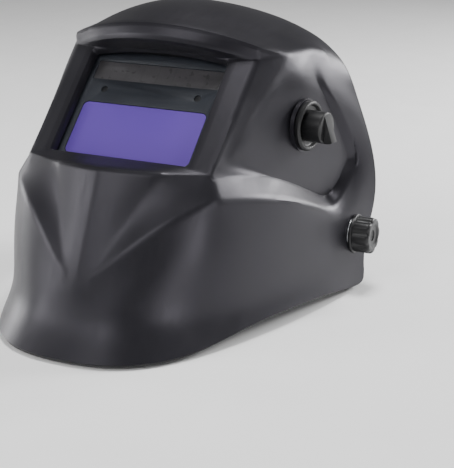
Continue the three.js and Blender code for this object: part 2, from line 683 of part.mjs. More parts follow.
function lobed(radius, dip, lobes, points = 48) {
  const outline = [];
  for (let k = 0; k < points; k++) {
    const angle = 2 * Math.PI * k / points;
    const r = radius - dip * (0.5 - 0.5 * Math.cos(lobes * angle)) ** 2;
    outline.push(new THREE.Vector2(r * Math.cos(angle), r * Math.sin(angle)));
  }
  return new THREE.Shape(outline);
}

function buildPivot(name, side) {
  const group = sideGroup(headgear, side);
  const x = pivot.x;
  const head = block([-5.5, -5.5, x - 19.4], [5.5, 5.5, x - 16.3]);
  const shank = rod(3, x - 17, x + 13.4, 0, 0, 20);
  add(group, `pivot_bolt_${name}`, join(head, shank), finish.steel);

  const slidePlate = block([-8, -10, x - 13.1], [8, 10, x - 10.8]);
  add(group, `slide_plate_${name}`, cut(slidePlate, rod(3.3, x - 20, x)), finish.plastic);

  const stopTurn = -side * (90 - headgearDrop - stopPegTurn);
  const disc = rod(14, x - 10.5, x - 8.3, 0, 0, 32);
  const arm = block([-3, 0, x - 10.5], [3, 22, x - 5.8]);
  const armCut = block([-4, -1, x - 8.3], [4, 16.5, x - 5]);
  const stop = cut(arm, armCut).rotateZ(radians(stopTurn));
  add(group, `tilt_stop_${name}`, cut(join(disc, stop), rod(3.3, x - 20, x)), finish.plastic);

  const spacer = rod(9, x - 8, x - 4.9, 0, 0, 24);
  add(group, `pivot_spacer_${name}`, cut(spacer, rod(3.3, x - 20, x)), finish.plastic);
  const washer = rod(12.6, x + 0.9, x + 1.7, 0, 0, 32);
  add(group, `friction_washer_${name}`, cut(washer, rod(3.3, x - 2, x + 5)), finish.steel);

  const skirt = rod(13.9, x + 2, x + 4.4, 0, 0, 40);
  const grip = new THREE.ExtrudeGeometry(lobed(13, 1.6, 8), {
    depth: 10.4, bevelEnabled: true, bevelSize: 1.2, bevelOffset: -1.2, bevelThickness: 1.2, bevelSegments: 1,
  }).translate(0, 0, x + 5);
  const dish = turned([[0, x + 15.6], [7.2, x + 15.6], [8.4, x + 18], [0, x + 18]], 24);
  const bore = rod(3.3, x, x + 13.7, 0, 0, 20);
  add(group, `side_knob_${name}`, cut(join(skirt, grip), dish, bore), finish.gloss);
}

// ---------------------------------------------------------------- headgear
const bandWall = 2;
const strapWall = 1.6;

// Station round the head: 0 at the forehead, 90 at the wearer's left, 180 at the nape.
function aroundHead(degrees, offset) {
  const a = radians(degrees);
  const out = new THREE.Vector3(headHalf.l * Math.sin(a), -headHalf.w * Math.cos(a), 0).normalize();
  const height = lerp(bandFront, bandRear, (1 - Math.cos(a)) / 2);
  const centre = new THREE.Vector3(headHalf.w * Math.sin(a), headCentre - headHalf.l * Math.cos(a), height);
  centre.addScaledVector(out, offset);
  return { centre, across: new THREE.Vector3(0, 0, 1), out };
}

function headStrip(from, to, steps, offset, halfHeight, thickness) {
  const stations = [];
  for (let k = 0; k <= steps; k++) stations.push(aroundHead(lerp(from, to, k / steps), offset));
  return strip(stations, halfHeight, thickness);
}

// Stations over the crown, in degrees from the wearer's left side up and over.
function overCrown(from, to, steps, offset) {
  const half = headHalf.w + bandWall + 0.4 + offset;
  const low = 39;
  const stations = [];
  for (let k = 0; k <= steps; k++) {
    const a = radians(lerp(from, to, k / steps));
    const rise = crownTop - low + offset;
    const out = new THREE.Vector3(rise * Math.cos(a), 0, half * Math.sin(a)).normalize();
    const bend = THREE.MathUtils.clamp(a, 0, Math.PI); // straight down the band past either end
    const centre = new THREE.Vector3(half * Math.cos(bend), 12, low + rise * Math.sin(a));
    stations.push({ centre, across: new THREE.Vector3(0, 1, 0), out });
  }
  return stations;
}

const rivetAt = { y: 12, z: 31, r: 2 };
const crownPeg = 2;

function buildHeadband() {
  const rivetHoles = [rod(rivetAt.r + gap, -120, 120, 0, 0, 12)
    .rotateY(Math.PI / 2).translate(0, rivetAt.y, rivetAt.z)];
  const strapPins = [];
  for (const [, side] of sides) {
    const st = aroundHead(side * 114, 0);
    const pin = rod(1.7 + gap, -8, 12, 0, 0, 12);
    pin.applyQuaternion(new THREE.Quaternion().setFromUnitVectors(new THREE.Vector3(0, 0, 1), st.out));
    strapPins.push(pin.translate(st.centre.x, st.centre.y, st.centre.z));
  }
  const bandHalf = (t) => lerp(15, 9, Math.abs(2 * t - 1) ** 1.5);
  const band = headStrip(-120, 120, 36, 0, bandHalf, bandWall);
  add(headgear, "headband", cut(band, ...rivetHoles, ...strapPins), finish.plastic);
  add(headgear, "sweatband", headStrip(-58, 58, 16, -6.6, 16, 6), finish.foam);
  add(headgear, "nape_pad", headStrip(154, 206, 12, -11.6, 13, 5.6), finish.foam);

  const pegHoles = [-16, -8, 0, 8, 16].map((x) => rod(crownPeg + gap, crownTop - 12, crownTop + 12, x, 12, 12));
  const crownLeft = cut(strip(overCrown(-14, 106, 18, 0), 9, strapWall), ...pegHoles, ...rivetHoles);
  const crownRight = cut(strip(overCrown(194, 74, 18, strapWall + 0.4), 9, strapWall), ...pegHoles, ...rivetHoles);
  add(headgear, "crown_strap_left", crownLeft, finish.plastic);
  add(headgear, "crown_strap_right", crownRight, finish.plastic);
  const top = crownTop + 2 * strapWall + 0.4;
  const peg = turned([
    [0, crownTop - 2], [5, crownTop - 2], [5, crownTop - gap], [crownPeg, crownTop - gap],
    [crownPeg, top + gap], [3.4, top + gap], [2.6, top + 2], [0, top + 2],
  ], 20).translate(0, 12, 0);
  add(headgear, "crown_peg", peg, finish.plastic);

  for (const [name, side] of sides) {
    const band = headStrip(side * 108, side * 166, 14, bandWall + gap, 8, strapWall);
    const half = side > 0 ? [strapPins[0]] : [strapPins[1]];
    add(headgear, `rear_strap_${name}`, cut(band, ...half), finish.plastic);
    const st = aroundHead(side * 114, 0);
    const pin = turned([
      [0, -1.6], [3.4, -1.6], [3.4, -gap], [1.7, -gap], [1.7, 4.2], [3.4, 4.2], [2.8, 5.4], [0, 5.4],
    ], 16);
    pin.applyQuaternion(new THREE.Quaternion().setFromUnitVectors(new THREE.Vector3(0, 0, 1), st.out));
    add(headgear, `strap_rivet_${name}`, pin.translate(st.centre.x, st.centre.y, st.centre.z), finish.steel);
    buildBracket(name, side);
  }
}

// Side bracket: riveted to the headband, it steps out to the slotted plate that carries the pivot.
function buildBracket(name, side) {
  const { in: a, out: b } = bracketPlate;
  const inner = pivot.x + a;
  const outer = pivot.x + b;
  const tab = headHalf.w + bandWall + 2 * strapWall + 1.6;
  const wall = outer - inner;
  const profile = new THREE.Shape();
  profile.moveTo(inner, -13).lineTo(outer, -13).lineTo(outer, 9.2).lineTo(tab + wall, 24.6);
  profile.lineTo(tab + wall, 40).lineTo(tab, 40).lineTo(tab, 23.4).lineTo(inner, 8).lineTo(inner, -13);
  const bent = plate(profile, -30, 30).rotateX(Math.PI / 2);
  const outline = new THREE.Shape();
  outline.moveTo(-19, -13).lineTo(19, -13).lineTo(22, -9).lineTo(22, 8).lineTo(22, 38).lineTo(19, 40);
  outline.lineTo(5, 40).lineTo(2, 38).lineTo(1, 24).lineTo(-22, 8).lineTo(-22, -9).lineTo(-19, -13);
  const face = plate(outline, 50, 130).rotateX(Math.PI / 2).rotateZ(Math.PI / 2);
  const slot = plate(roundedRect(2 * slotHalf.y, 2 * slotHalf.z, 3.3, 0, 0), 50, 130)
    .rotateX(Math.PI / 2).rotateZ(Math.PI / 2);
  const rivetHole = rod(rivetAt.r + gap, 50, 130, 0, 0, 12)
    .rotateY(Math.PI / 2).translate(0, rivetAt.y, rivetAt.z);
  const body = cut(common(bent, face), slot, rivetHole);
  if (side < 0) mirrorX(body);
  add(headgear, `side_bracket_${name}`, body, finish.plastic);
  const from = headHalf.w;
  const to = tab + wall;
  const rivet = turned([
    [0, from - 2], [3.6, from - 2], [3.6, from - 0.8], [rivetAt.r, from - 0.8],
    [rivetAt.r, to + gap], [3.6, to + gap], [3, to + 1.6], [0, to + 1.6],
  ], 16).rotateY(Math.PI / 2).translate(0, rivetAt.y, rivetAt.z);
  if (side < 0) mirrorX(rivet);
  add(headgear, `bracket_rivet_${name}`, rivet, finish.steel);
}

// Mirror in place across X and keep the faces outwards.
function mirrorX(geometry) {
  geometry.applyMatrix4(new THREE.Matrix4().makeScale(-1, 1, 1));
  if (!geometry.index) geometry.setIndex([...Array(geometry.attributes.position.count).keys()]);
  geometry.setIndex([...geometry.index.array].reverse());
  return geometry;
}

// ---------------------------------------------------------------- ratchet at the nape
const ratchet = { front: 102.2, rack: 106.5, rackTip: 9.4, cover: 109.5, back: 111.3, half: 24, knob: 16 };
const pinion = { r: 5, teeth: 12 };

function buildRatchet() {
  const z = bandRear;
  const { front, rack, rackTip, cover, back, half } = ratchet;
  const tray = block([-half, front, z - 14.5], [half, cover - gap, z + 14.5]);
  const channel = block([-half - 1, front + 1.6, z - 12], [half + 1, cover, z + 12]);
  const screwX = 18;
  const screwZ = 13.2;
  add(headgear, "ratchet_housing", cut(tray, channel), finish.plastic);

  const lid = roundedRect(2 * half, 29, 5, 0, 0);
  const lidPlate = plate(lid, -back, -cover).rotateX(Math.PI / 2).translate(0, 0, z);
  const shaftHole = rod(4.3, -130, -90, 0, 0, 20).rotateX(Math.PI / 2).translate(0, 0, z);
  add(headgear, "ratchet_cover", cut(lidPlate, shaftHole), finish.plastic);

  const gear = plate(lobed(pinion.r, 1.3, pinion.teeth, 48), -cover + 0.4, -front - 2);
  const shaft = rod(3.9, -back - 9, -cover + 1, 0, 0, 20);
  const spindle = join(gear, shaft).rotateX(Math.PI / 2).translate(0, 0, z);
  add(headgear, "ratchet_pinion", spindle, finish.plastic);

  const grip = new THREE.ExtrudeGeometry(lobed(ratchet.knob, 1.5, 12, 60), {
    depth: 8.6, bevelEnabled: true, bevelSize: 1.4, bevelOffset: -1.4, bevelThickness: 1.2, bevelSegments: 1,
  }).translate(0, 0, -back - 11.5);
  const bore = rod(4.2, -back - 9.3, -back + 1, 0, 0, 20);
  const knob = cut(grip, bore).rotateX(Math.PI / 2).translate(0, 0, z);
  add(headgear, "ratchet_knob", knob, finish.plastic);

  const endX = aroundHead(166, bandWall + gap).centre.x - gap - 0.3;
  for (const [name, side] of sides) {
    const base = side > 0 ? pinion.r + gap : -pinion.r - gap - 5;
    const bar = block([side * endX, rack, z + base], [-side * rackTip, rack + strapWall, z + base + 5]);
    const notches = [];
    const edge = side > 0 ? z + base : z + base + 5;
    for (let x = -5.8; x <= 11; x += 2.6) {
      const notch = rod(0.9, -rack - 5, -rack + 5, 0, 0, 6).rotateX(Math.PI / 2);
      notches.push(notch.translate(side * x, 0, edge));
    }
    add(headgear, `rack_${name}`, cut(bar, ...notches), finish.plastic);
  }
}

buildShell();
buildCartridge();
buildShadeControl();
buildHeadband();
for (const [name, side] of sides) buildPivot(name, side);
buildRatchet();

export default helmet;
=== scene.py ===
"""Looks of the welding helmet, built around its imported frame. Metres, +Z up, front towards -Y."""
import json
import math

import bmesh
import bpy
import numpy as np
from mathutils import Matrix, Vector


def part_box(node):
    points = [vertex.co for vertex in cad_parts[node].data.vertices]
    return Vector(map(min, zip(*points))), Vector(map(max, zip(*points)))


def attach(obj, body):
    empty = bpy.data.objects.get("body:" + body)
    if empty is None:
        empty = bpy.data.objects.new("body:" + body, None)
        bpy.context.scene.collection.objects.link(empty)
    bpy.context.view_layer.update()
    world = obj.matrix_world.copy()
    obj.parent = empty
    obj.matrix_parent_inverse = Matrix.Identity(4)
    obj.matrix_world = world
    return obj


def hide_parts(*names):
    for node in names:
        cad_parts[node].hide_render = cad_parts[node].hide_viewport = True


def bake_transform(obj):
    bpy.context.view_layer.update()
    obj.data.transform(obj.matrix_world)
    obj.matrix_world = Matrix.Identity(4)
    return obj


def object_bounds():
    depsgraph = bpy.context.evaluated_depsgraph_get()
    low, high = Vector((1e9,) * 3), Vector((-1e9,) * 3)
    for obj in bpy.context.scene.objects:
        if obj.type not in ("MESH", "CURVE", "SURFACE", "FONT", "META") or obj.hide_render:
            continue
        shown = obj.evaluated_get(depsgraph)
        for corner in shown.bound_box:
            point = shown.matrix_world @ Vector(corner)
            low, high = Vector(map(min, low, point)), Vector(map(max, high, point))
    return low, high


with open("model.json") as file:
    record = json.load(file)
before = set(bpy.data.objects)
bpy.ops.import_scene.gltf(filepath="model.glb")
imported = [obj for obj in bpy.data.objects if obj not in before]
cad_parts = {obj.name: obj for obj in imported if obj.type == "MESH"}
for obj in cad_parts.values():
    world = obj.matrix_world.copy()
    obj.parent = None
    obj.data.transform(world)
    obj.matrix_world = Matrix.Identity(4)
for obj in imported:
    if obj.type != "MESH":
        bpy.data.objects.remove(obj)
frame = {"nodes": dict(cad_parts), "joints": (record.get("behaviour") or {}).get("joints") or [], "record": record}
cad_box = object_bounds()

MM = 0.001
SIDES = (("left", 1), ("right", -1))
SLOT_OF = {entry["node"]: entry["material_slot"] for entry in frame["record"]["subparts"]}
BODY_OF = {
    node: body
    for body, members in frame["record"]["behaviour"]["bodies"].items()
    for node in members
}
JOINT_OF = {joint["name"]: joint for joint in frame["joints"]}

# Window plane: across it, up it and out of it, with its centre taken from the filter glass.
WINDOW_LEAN = math.radians(44.7)
WINDOW_UP = Vector((0, math.cos(WINDOW_LEAN), math.sin(WINDOW_LEAN)))
WINDOW_OUT = Vector((0, -math.sin(WINDOW_LEAN), math.cos(WINDOW_LEAN)))
GLASS_MIDDLE = {"up": 0.7 * MM, "out": -2.75 * MM}
WINDOW = (
    sum(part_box("filter_glass"), Vector()) / 2
    - WINDOW_UP * GLASS_MIDDLE["up"]
    - WINDOW_OUT * GLASS_MIDDLE["out"]
)

# Side pivots and the shade control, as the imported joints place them.
PIVOT = Vector(JOINT_OF["side_knob_left_turn"]["pos_m"])
SHADE_SEAT = Vector(JOINT_OF["shade_knob_turn"]["pos_m"])
SHADE_AXIS = Vector(JOINT_OF["shade_knob_turn"]["axis"])
NAPE = Vector(JOINT_OF["ratchet_knob_turn"]["pos_m"])
NAPE_AXIS = Vector(JOINT_OF["ratchet_knob_turn"]["axis"])


# ------------------------------------------------------------------ materials
class Shader:
    """A Principled material and short calls for the nodes that feed it."""

    def __init__(self, name, **inputs):
        self.material = bpy.data.materials.new(name)
        self.material.use_nodes = True
        self.tree = self.material.node_tree
        self.main = self.tree.nodes["Principled BSDF"]
        for key, value in inputs.items():
            self.main.inputs[key.replace("_", " ")].default_value = value
        self.place = self.node("ShaderNodeTexCoord").outputs["Object"]

    def node(self, kind, settings=None, **links):
        made = self.tree.nodes.new(kind)
        for key, value in (settings or {}).items():
            setattr(made, key, value)
        for key, value in links.items():
            self.feed(made.inputs[int(key[1:]) if key[1:].isdigit() else key.replace("_", " ")], value)
        return made

    def feed(self, socket, value):
        if isinstance(value, bpy.types.NodeSocket):
            self.tree.links.new(value, socket)
        else:
            socket.default_value = value

    def noise(self, scale, detail=2.0, stretch=None):
        place = self.place
        if stretch:
            place = self.node("ShaderNodeMapping", Vector=place, Scale=stretch).outputs[0]
        made = self.node("ShaderNodeTexNoise", Vector=place, Scale=scale, Detail=detail)
        return made.outputs["Fac"]

    def spread(self, value, low, high, start=0.3, end=0.7):
        """value, which runs from start to end, restated to run from low to high."""
        made = self.node("ShaderNodeMapRange", Value=value, From_Min=start, From_Max=end)
        made.inputs["To Min"].default_value = low
        made.inputs["To Max"].default_value = high
        return made.outputs[0]

    def tint(self, share, first, second):
        made = self.node("ShaderNodeMix", {"data_type": "RGBA"}, _0=share)
        made.inputs[6].default_value = (*first, 1)
        made.inputs[7].default_value = (*second, 1)
        return made.outputs[2]

    def maths(self, operation, first, second=0.0):
        return self.node("ShaderNodeMath", {"operation": operation}, _0=first, _1=second).outputs[0]

    def stripes(self, axis, pitch, width):
        """1 on lines of a width across an axis, repeated at a pitch, and 0 between them."""
        along = self.node("ShaderNodeVectorMath", {"operation": "DOT_PRODUCT"}, _0=self.place, _1=tuple(axis))
        turns = self.maths("FRACT", self.maths("DIVIDE", along.outputs["Value"], pitch))
        return self.maths("LESS_THAN", turns, width / pitch)

    def bump(self, height, distance, strength=1.0):
        made = self.node("ShaderNodeBump", Height=height, Distance=distance, Strength=strength)
        self.tree.links.new(made.outputs[0], self.main.inputs["Normal"])

    def colour(self, value):
        self.feed(self.main.inputs["Base Color"], value)

    def roughness(self, value):
        self.feed(self.main.inputs["Roughness"], value)


def moulded(name, dark, light, smooth, rough, grain, depth, **inputs):
    """Moulded plastic: mottled colour, hand-polished patches, faint scuffs and a fine surface grain."""
    shader = Shader(name, **inputs)
    blotch = shader.noise(22, 5)
    scuffs = shader.noise(260, 3, stretch=(1, 0.12, 0.3))
    shader.colour(shader.tint(shader.spread(blotch, 0, 1), dark, light))
    worn = shader.maths("ADD", shader.spread(blotch, 0, 0.6), shader.spread(scuffs, 0, 0.4, 0.45, 0.75))
    shader.roughness(shader.spread(worn, smooth, rough, 0, 1))
    shader.bump(shader.noise(grain, 4), depth)
    return shader.material


def metal(name, tone, smooth, rough):
    shader = Shader(name, Metallic=1.0)
    brushed = shader.noise(500, 4, stretch=(0.05, 1, 1))
    stains = shader.noise(60, 3)
    shader.colour(shader.tint(shader.spread(stains, 0, 1), tone, [0.8 * c for c in tone]))
    shader.roughness(shader.spread(brushed, smooth, rough))
    shader.bump(brushed, 0.00002)
    return shader.material


def coated_filter():
    shader = Shader("filter_coating", Metallic=0.1, Coat_Weight=0.2, Coat_Roughness=0.05)
    cloud = shader.noise(9, 1)
    shader.colour(shader.tint(shader.spread(cloud, 0, 1), (0.15, 0.075, 0.47), (0.21, 0.12, 0.56)))
    shader.roughness(shader.spread(shader.noise(40, 2), 0.10, 0.16))
    return shader.material


def clear_sheet():
    shader = Shader("clear_polycarbonate", Alpha=0.07, IOR=1.58)
    haze = shader.spread(shader.noise(30), 0, 1)
    shader.colour(shader.tint(haze, (0.030, 0.033, 0.040), (0.045, 0.048, 0.055)))
    shader.roughness(shader.spread(shader.noise(300, 4, stretch=(1, 0.1, 0.1)), 0.03, 0.14, 0.5, 0.8))
    return shader.material


def solar_cells():
    shader = Shader("solar_cell", Coat_Weight=0.8, Coat_Roughness=0.08)
    gaps = shader.stripes((1, 0, 0), 11.9 * MM, 0.35 * MM)
    fingers = shader.stripes(WINDOW_UP, 1.8 * MM, 0.2 * MM)
    lines = shader.maths("MAXIMUM", gaps, shader.maths("MULTIPLY", fingers, 0.25))
    mottle = shader.spread(shader.noise(80, 3), 0, 0.25)
    grey = shader.maths("ADD", mottle, shader.maths("MULTIPLY", lines, 0.6))
    shader.colour(shader.tint(grey, (0.085, 0.08, 0.085), (0.035, 0.034, 0.037)))
    shader.roughness(shader.spread(shader.noise(200, 2), 0.25, 0.4))
    return shader.material


def liquid_crystal():
    shader = Shader("liquid_crystal", Coat_Weight=0.6, Alpha=0.85)
    cloud = shader.spread(shader.noise(12, 1), 0, 1)
    shader.colour(shader.tint(cloud, (0.10, 0.15, 0.09), (0.14, 0.19, 0.10)))
    shader.roughness(shader.spread(shader.noise(60), 0.05, 0.12))
    return shader.material


def circuit_laminate():
    shader = Shader("circuit_laminate", Coat_Weight=0.4)
    across = shader.stripes((1, 0, 0), 3.1 * MM, 0.7 * MM)
    up = shader.stripes(WINDOW_UP, 4.3 * MM, 0.6 * MM)
    patches = shader.maths("GREATER_THAN", shader.noise(90, 1), 0.5)
    traces = shader.maths("MULTIPLY", shader.maths("MAXIMUM", across, up), patches)
    shader.colour(shader.tint(traces, (0.012, 0.09, 0.035), (0.035, 0.19, 0.07)))
    shader.roughness(shader.spread(shader.noise(300), 0.3, 0.5))
    shader.bump(traces, 0.00003)
    return shader.material


def knitted_cloth():
    shader = Shader("padding", Sheen_Weight=0.5, Sheen_Roughness=0.4)
    cells = shader.node("ShaderNodeTexVoronoi", Vector=shader.place, Scale=620.0).outputs["Distance"]
    fluff = shader.noise(1500, 4)
    height = shader.maths("SUBTRACT", shader.maths("MULTIPLY", fluff, 0.3), cells)
    # Painted shade: the colour darkens in the hollows between knit cells, where the bump is lowest.
    gaps = shader.spread(cells, 0, 1, 0.1, 0.6)
    shader.colour(shader.tint(gaps, (0.035, 0.035, 0.038), (0.012, 0.012, 0.013)))
    shader.roughness(shader.spread(shader.noise(40), 0.85, 0.98))
    shader.bump(height, 0.0004)
    return shader.material


def pale_floor():
    shader = Shader("pale_floor")
    cloud = shader.spread(shader.noise(3, 4), 0, 1)
    shader.colour(shader.tint(cloud, (0.92, 0.92, 0.92), (0.95, 0.95, 0.95)))
    shader.roughness(shader.spread(shader.noise(30, 3), 0.6, 0.75))
    return shader.material


MATERIALS = {
    "shell_nylon": moulded("shell_nylon", (0.0085, 0.0083, 0.0105), (0.012, 0.0118, 0.0145),
                           0.33, 0.44, 1900, 0.00006, Specular_IOR_Level=0.38,
                           Specular_Tint=(0.92, 0.88, 1.0, 1)),
    "black_plastic": moulded("black_plastic", (0.009, 0.009, 0.010), (0.014, 0.014, 0.016),
                             0.38, 0.54, 1300, 0.00004),
    "gloss_black": moulded("gloss_black", (0.004, 0.004, 0.005), (0.008, 0.008, 0.009),
                           0.36, 0.50, 700, 0.00001, Specular_IOR_Level=0.4),
    "cartridge_case": moulded("cartridge_case", (0.018, 0.021, 0.029), (0.024, 0.028, 0.037),
                              0.36, 0.50, 1500, 0.00003),
    "clear_polycarbonate": clear_sheet(),
    "filter_coating": coated_filter(),
    "liquid_crystal": liquid_crystal(),
    "solar_cell": solar_cells(),
    "steel": metal("steel", (0.52, 0.53, 0.55), 0.22, 0.40),
    "circuit_laminate": circuit_laminate(),
    "padding": knitted_cloth(),
    "lead_sheath": moulded("lead_sheath", (0.010, 0.010, 0.011), (0.018, 0.018, 0.019),
                           0.5, 0.7, 900, 0.00004),
}


# ------------------------------------------------------------------ mesh tools
def new_object(name, mesh):
    piece = bpy.data.objects.new(name, mesh)
    bpy.context.scene.collection.objects.link(piece)
    return piece


def from_points(name, points, faces):
    mesh = bpy.data.meshes.new(name)
    mesh.from_pydata([tuple(p) for p in points], [], faces)
    return new_object(name, mesh)


def shade(piece, sharp_angle=35):
    """Smooth shading that breaks only at edges sharper than the angle."""
    for layer in ("custom_normal", "sharp_face"):
        if layer in piece.data.attributes:
            piece.data.attributes.remove(piece.data.attributes[layer])
    piece.data.shade_smooth()
    piece.data.set_sharp_from_angle(angle=math.radians(sharp_angle))


def settle(piece):
    """Apply the piece's modifiers."""
    shown = piece.evaluated_get(bpy.context.evaluated_depsgraph_get())
    mesh = bpy.data.meshes.new_from_object(shown)
    piece.modifiers.clear()
    piece.data = mesh


def modify(piece, kind, **settings):
    modifier = piece.modifiers.new(kind.lower(), kind)
    for key, value in settings.items():
        setattr(modifier, key, value)
    return modifier


def finish_piece(piece, node, rides=True):
    """Material, slot and body of the piece that stands for a CAD node."""
    piece.data.materials.clear()
    piece.data.materials.append(MATERIALS[SLOT_OF[node]])
    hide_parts(node)
    if rides:
        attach(piece, BODY_OF[node])


def face_outwards(piece):
    edit = bmesh.new()
    edit.from_mesh(piece.data)
    bmesh.ops.recalc_face_normals(edit, faces=edit.faces)
    edit.to_mesh(piece.data)
    edit.free()


WELD_REACH = 0.000002
FLAT_ANGLE = math.radians(0.3)


def copy_of(node, name):
    """A CAD node's shape as one welded mesh with its flat faces whole."""
    edit = bmesh.new()
    edit.from_mesh(frame["nodes"][node].data)
    bmesh.ops.remove_doubles(edit, verts=edit.verts, dist=WELD_REACH)
    bmesh.ops.dissolve_limit(edit, angle_limit=FLAT_ANGLE, verts=edit.verts, edges=edit.edges)
    mesh = bpy.data.meshes.new(name)
    edit.to_mesh(mesh)
    edit.free()
    return new_object(name, mesh)


def soften_edges(piece, radius, sharp=38):
    edit = bmesh.new()
    edit.from_mesh(piece.data)
    edit.normal_update()
    edges = [e for e in edit.edges if len(e.link_faces) == 2 and e.calc_face_angle(0) > math.radians(sharp)]
    bmesh.ops.bevel(edit, geom=edges, offset=radius, offset_type="OFFSET", segments=2, profile=0.5,
                    affect="EDGES", clamp_overlap=True)
    edit.to_mesh(piece.data)
    edit.free()


def frame_on(point, axis):
    """Matrix whose origin is the point and whose Z is the axis."""
    turn = Vector((0, 0, 1)).rotation_difference(axis)
    return Matrix.Translation(point) @ turn.to_matrix().to_4x4()


def loft(name, rings):
    """Closed body through rings of points with equal counts, capped at both ends."""
    count = len(rings[0])
    faces = [list(range(count))[::-1]]
    for k in range(len(rings) - 1):
        for i in range(count):
            j = (i + 1) % count
            faces.append([k * count + i, k * count + j, (k + 1) * count + j, (k + 1) * count + i])
    faces.append([(len(rings) - 1) * count + i for i in range(count)])
    piece = from_points(name, [p for ring in rings for p in ring], faces)
    face_outwards(piece)
    return piece


def turned_knob(name, profile, lobes, dip, place, count=192):
    """Knob about an axis from (radius, height, share of the lobes' depth) stations in millimetres."""
    rings = []
    for radius, height, share in profile:
        ring = []
        for k in range(count):
            angle = 2 * math.pi * k / count
            wave = (0.5 - 0.5 * math.cos(lobes * angle)) ** 2
            r = (radius - dip * share * wave) * MM
            ring.append(place @ Vector((r * math.cos(angle), r * math.sin(angle), height * MM)))
        rings.append(ring)
    return loft(name, rings)


def rods(name, stations):
    """Round cutters or bosses in one mesh: each is a place and its sizes in millimetres."""
    edit = bmesh.new()
    for place, size in stations:
        start, end, radius = size["from"], size["to"], size["radius"] * MM
        middle = Matrix.Translation((0, 0, (start + end) / 2 * MM))
        bmesh.ops.create_cone(edit, cap_ends=True, segments=96, radius1=radius, radius2=radius,
                              depth=abs(end - start) * MM, matrix=place @ middle)
    mesh = bpy.data.meshes.new(name)
    edit.to_mesh(mesh)
    edit.free()
    return new_object(name, mesh)


# ------------------------------------------------------------------ shell
# The same cage as the CAD shell, in millimetres from the window's centre, smoothed much finer.
# Its rings run from the window opening out to the rim, and its spokes from the top centre round the
# wearer's left side to the bottom centre.
OPENING_HALF = 52
OPENING_LOW = -24.3
OPENING_HIGH = 58.7
FRAME_RISE = 4.5
SEAT_RISE = 1
SHELL_WALL = 2.5
FINE_STEPS = 3

BROW_LOW = (66.9, 45.7, 45.7)
BROW_HIGH = (67.4, 44.8, 52.8)
CHEEK_LOW = (65.3, -20.2, -17)
LEDGE_FRONT = (72.5, -24, -30.5)
CHIN = (0, -73.7, -81)

BROW_SHARE = (0, 0.33, 0.62, 0.85, 1)
DOME_SHARE = (0, 0.27, 0.53, 0.74, 0.87)
OPENING_SIDE = (53, 44, 34.5, 24.5, 14.5, 5, -3.5, -10, -15, -19.5)
FRAME_SHARE = (0.033, 0.147, 0.253, 0.375, 0.497, 0.61, 0.723, 0.815, 0.883, 0.944, 1)
OPENING_FOOT = (46, 41, 36, 30, 15, 0)
FACET_SAG = (0, 2, 2.4, 1.2, 0, 0)

# Centre line of the dome: y, z and how full the section is.
DOME_CENTRE = ((40, 69.5, 2.0), (55, 74, 1.9), (76, 76.3, 1.8), (97, 73, 2.1),
               (111, 69, 2.5), (122, 64.4, 3.0), (130, 60, 3.4))

# Cheek crease, panel foot, ledge top, ledge bottom, three on the side wall, rim.
SIDE_SPOKES = (
    ((79, 65, 45.6), (82, 80, 46.5), (85, 91, 45.7), (88, 99.5, 43.8),
     (91.5, 107, 40.7), (94.5, 111.5, 37.5), (97.3, 115.5, 34), (100, 119, 30)),
    ((78, 55, 37), (86, 67, 36), (88, 83, 32), (91, 87, 30),
     (95.5, 98, 26), (99, 107, 21.5), (102.3, 116, 16), (105, 123, 11)),
    ((77, 44.5, 28.6), (89.8, 73, 18), (98, 98.7, 5.6), (104.3, 104, 1.6),
     (106, 110, 0.5), (107.5, 115.5, -1), (109, 121, -3), (110, 126, -5)),
    ((75, 34, 19.7), (91.5, 77, -7), (103.3, 115.7, -31.5), (110, 124, -30.4),
     (112.4, 126.2, -30.2), (114, 128, -29.8), (115.2, 129.7, -29.4), (116, 131, -29)),
    ((73, 22.5, 11.3), (89.5, 65, -20), (100.5, 106.9, -45.1), (107.5, 112, -49),
     (111, 118, -51.2), (114, 124, -53), (116.3, 129.5, -54.3), (118.5, 135, -55)),
    ((71.5, 11, 1), (86.5, 53, -31), (96.8, 96.9, -58.6), (104.8, 89.8, -65.2),
     (110, 98, -69.5), (113, 108, -73), (115.7, 117.5, -76), (118, 125.5, -78)),
    ((69.5, 2, -6.5), (83, 40, -31), (92.8, 82, -51), (102.5, 71, -57.5),
     (107.5, 84, -70), (112, 96, -83), (115, 105, -94.5), (117.5, 111, -104)),
    ((68.3, -4, -10.5), (79.5, 26, -26.5), (87.5, 56, -38.5), (97, 42, -46),
     (103, 61, -66), (109, 81, -86), (113.5, 99, -105), (119.3, 121, -126)),
    ((67.3, -10, -12.5), (75, 8, -21), (80.5, 26, -27), (87.5, 13, -37),
     (96, 32, -62), (101.5, 50, -85), (105.5, 64, -103), (112, 76, -117)),
    ((66.3, -15, -14.5), (70, -7.5, -18.5), (73.5, 0, -21.5), (79.5, -8, -33),
     (88, 5, -60), (93, 16, -84), (95.5, 25, -102), (103, 34, -114)),
    ((65.7, -20.5, -17.7), (66.1, -20.8, -18.6), (66.7, -21.1, -19.8), LEDGE_FRONT,
     (79, -20, -58), (82, -17, -82), (82.5, -15, -102), (89, -11.5, -114)),
)

